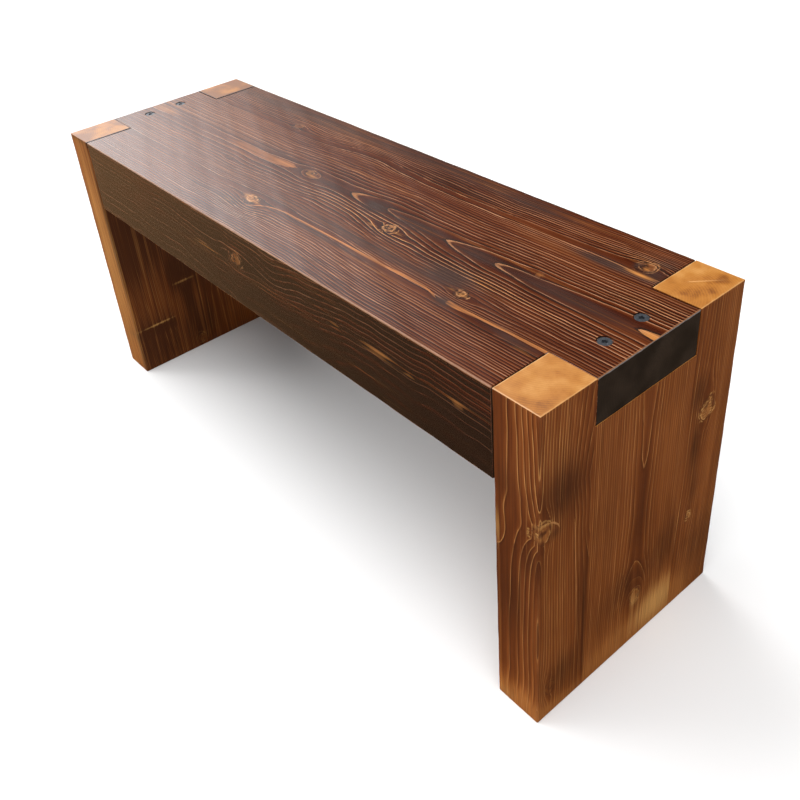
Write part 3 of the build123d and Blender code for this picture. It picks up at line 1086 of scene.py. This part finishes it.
leg_board(
    "left_leg_back_post",
    leaning_heart(-448, 58, y_drift=((0, -6), (200, 0), (445, 5))),
    26,
    knots=knots_on(on_left_inner, 0, (290, 210, 8, 0.6, 1)),
    # The inner face's soak patch is painted shade under the seat, and the one round the left top is
    # painted shade on the post's top
    soak_and_shade=left_inner_patches((280, 200, 60, 250, 0.9)) + [(left_top, (deep, 400, 6), 1)],
)


# ---- Tongue screws ------------------------------------------------------------------------------
# Countersunk construction screws, two through each tongue into the middle board below it. They are
# black coated steel, with a six-lobed driver recess.

black_steel, shader = new_material("black_coated_steel")
scuff = noise(place_on(shader), 900, 3)
coating, bare_steel = (0.11, 0.12, 0.135, 1), (0.28, 0.30, 0.33, 1)
feed(shader, {
    "Base Color": blend(curve(scuff, (0.55, 0), (0.75, 0.6)), coating, bare_steel),
    "Roughness": curve(scuff, (0.3, 0.32), (0.8, 0.5)),
    "Metallic": 0.75,
})


def remade_in(names, material):
    """Gives each named piece one material, in place of what it came with."""
    for name in names:
        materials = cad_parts[name].data.materials
        materials.clear()
        materials.append(material)


remade_in(screw_names, black_steel)


# ---- Dowels -------------------------------------------------------------------------------------
# Beech dowels with chamfered ends, glued across the seams of the legs and into the beam's shoulders.
# They are bare wood, and nothing of them shows.

beech, shader = new_material("bare_beech")
fleck = noise(place_on(shader), 700, 4)
dark_beech, pale_beech = (0.50, 0.30, 0.16, 1), (0.66, 0.44, 0.26, 1)
beech_colour = blend(curve(fleck, (0.35, 0), (0.7, 1)), dark_beech, pale_beech)
feed(shader, {"Base Color": beech_colour, "Roughness": 0.6})
remade_in([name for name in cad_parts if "dowel" in name], beech)


# ---- Floor, light and camera --------------------------------------------------------------------
# A plain pale floor under one very wide, soft sun. Everything round the bench is plain, and only the
# camera sees the white behind it.

side = 30000.0
corners = [(-side, -side, 0), (side, -side, 0), (side, side, 0), (-side, side, 0)]
floor = new_piece("floor", corners, [(0, 1, 2, 3)])
pale_floor, shader = new_material("pale_floor")
feed(shader, {"Base Color": (0.90, 0.90, 0.90, 1), "Roughness": 0.9, "Specular IOR Level": 0.1})
floor.data.materials.append(pale_floor)
floor.visible_glossy = False

# The sky is dark but for one wide soft glow over the bench's left end, which lies as a sheen on the wax.
world = bpy.data.worlds.new("studio")
scene.world = world
world.use_nodes = True
tree = world.node_tree
way = node("TexCoord", tree=tree).outputs["Generated"]
up = node("SeparateXYZ", {0: way}).outputs[2]
brown_ground = colour_run(
    times(up, -1), (0, (0.012, 0.012, 0.012, 1)), (0.02, (0.70, 0.41, 0.19, 1)),
    (0.38, (0.52, 0.30, 0.14, 1)), (0.66, (0.08, 0.045, 0.02, 1)),
)
glow_middle = (-0.807, -0.142, 0.574)
towards_glow = node("VectorMath", {0: way, 1: glow_middle}, operation="DOT_PRODUCT").outputs["Value"]
sky_glow = curve(towards_glow, (0.62, 0), (0.71, 0.012), (0.77, 0.068), (0.82, 0.26), (0.85, 0.46),
                 (0.87, 0.56), (0.90, 0.62), (0.94, 0.5), (1, 0.1))
glow_strength = 6.1
sky_glow = times(sky_glow, glow_strength)
light_colour = blend(1, brown_ground, sky_glow, "ADD")
seen = node("LightPath", tree=tree).outputs["Is Camera Ray"]
feed(tree.nodes["Background"], {"Color": blend(seen, light_colour, (1, 1, 1, 1))})

sun_data = bpy.data.lights.new("wide_sky", "SUN")
sun_data.energy = 3.05
sun_data.angle = math.radians(60)
sun = bpy.data.objects.new("wide_sky", sun_data)
sun.rotation_mode = "QUATERNION"
sun.rotation_quaternion = Vector((-0.25, 0.30, -1.0)).to_track_quat("-Z", "Y")
scene.collection.objects.link(sun)

camera_data = bpy.data.cameras.new("camera")
camera_data.sensor_width = 36.0
focal_px, centre_px = 940.77, (377.7, 296.1)
frame_px = 800
camera_data.lens = focal_px / frame_px * camera_data.sensor_width
camera_data.shift_x = (frame_px / 2 - centre_px[0]) / frame_px
camera_data.shift_y = (centre_px[1] - frame_px / 2) / frame_px
camera = bpy.data.objects.new("camera", camera_data)
scene.collection.objects.link(camera)
azimuth, elevation, roll = math.radians(53.5535), math.radians(32.1105), math.radians(-5.6897)
level = math.cos(elevation)
sight = Vector((-math.sin(azimuth) * level, math.cos(azimuth) * level, -math.sin(elevation)))
camera.location = (0.93108, -0.63827, 0.98355)
camera.rotation_mode = "QUATERNION"
camera.rotation_quaternion = Quaternion(sight, -roll) @ sight.to_track_quat("-Z", "Y")
scene.camera = camera
scene.view_settings.view_transform = "Standard"
